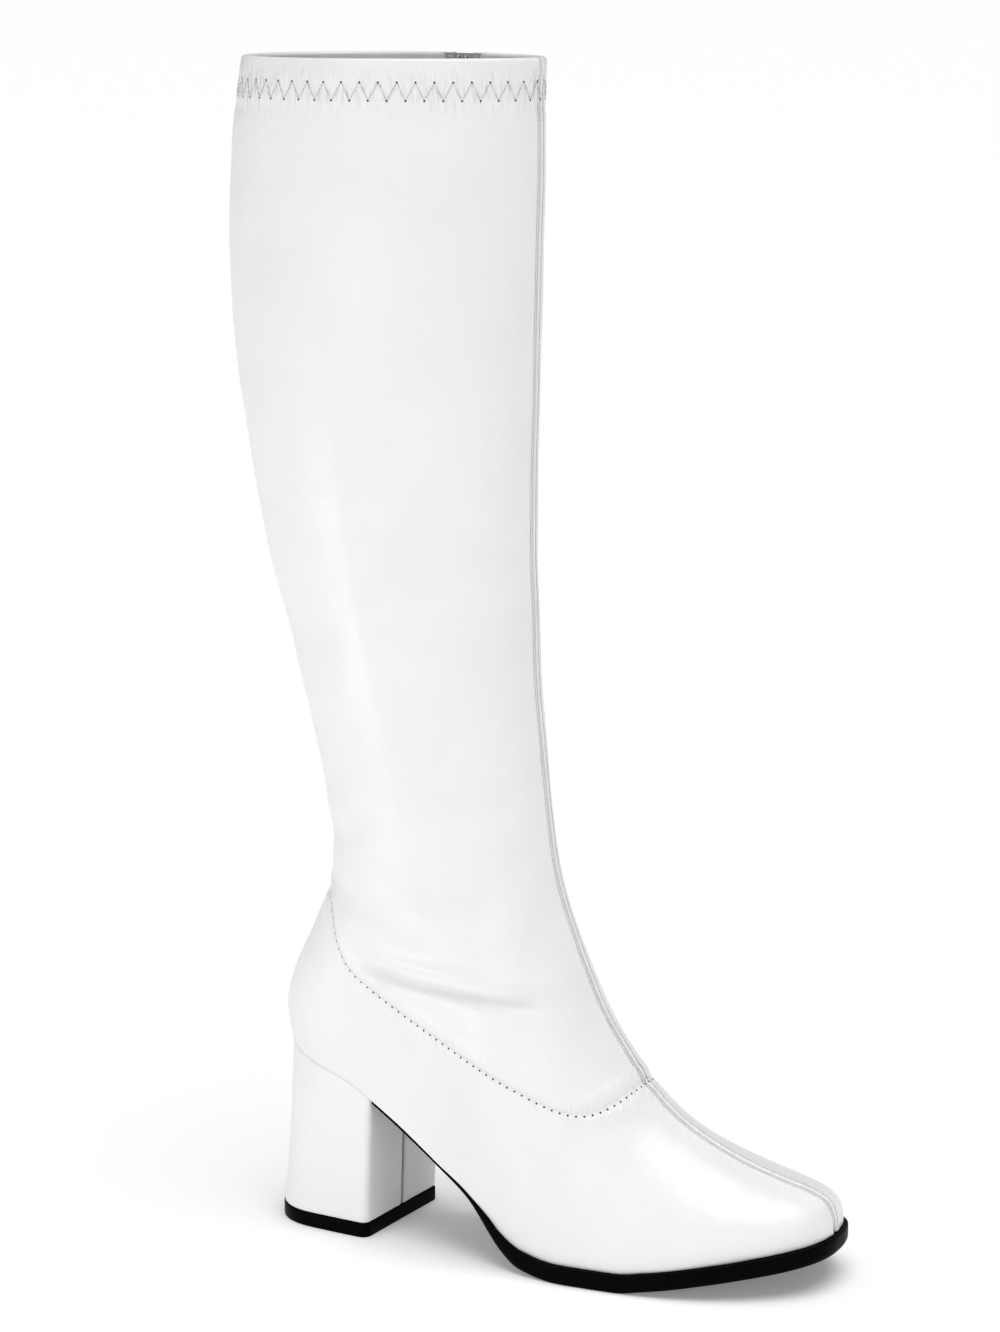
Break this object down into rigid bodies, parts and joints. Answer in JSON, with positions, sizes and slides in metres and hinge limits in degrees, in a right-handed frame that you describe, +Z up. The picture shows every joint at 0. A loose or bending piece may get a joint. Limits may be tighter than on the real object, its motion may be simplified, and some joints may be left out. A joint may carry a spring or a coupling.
{
  "type": "knee-high go go boot",
  "caption": "Right knee-high boot with a block heel, soft square toe, thin dark sole, curved seam over the instep and a full zip up the inner side.",
  "frame": {"origin": "middle of the heel's resting face on the floor", "axes": "+X from the heel to the toe, +Y to the inner (zip) side of the foot, +Z up the leg"},
  "size_m": [0.2662, 0.0982, 0.4871],
  "materials": {
    "leather": "smooth white coated leather with a soft gloss",
    "sole_rubber": "black moulded rubber, satin edge",
    "board": "pale covered insole board",
    "heel_core": "moulded heel under its cover",
    "tape": "woven white zip tape",
    "coil": "white nylon coil",
    "metal": "nickel plated zip metal"
  },
  "bodies": {
    "boot": {"upper": "leather", "shaft": "leather", "outsole": "sole_rubber", "insole": "board", "heel_block": "heel_core", "heel_wrap": "leather", "heel_top_piece": "sole_rubber", "zip_tape": "tape", "zip_chain": "coil", "zip_bottom_stop": "metal", "zip_slider": "metal"},
    "pull": {"zip_pull": "metal"}
  },
  "joints": [
    {"name": "pull_hinge", "type": "hinge", "parent": "boot", "child": "pull", "pos_m": [0.03263, 0.04749, 0.47606], "axis": [0.9518, -0.2733, -0.1394], "range_deg": [0, 170]}
  ]
}
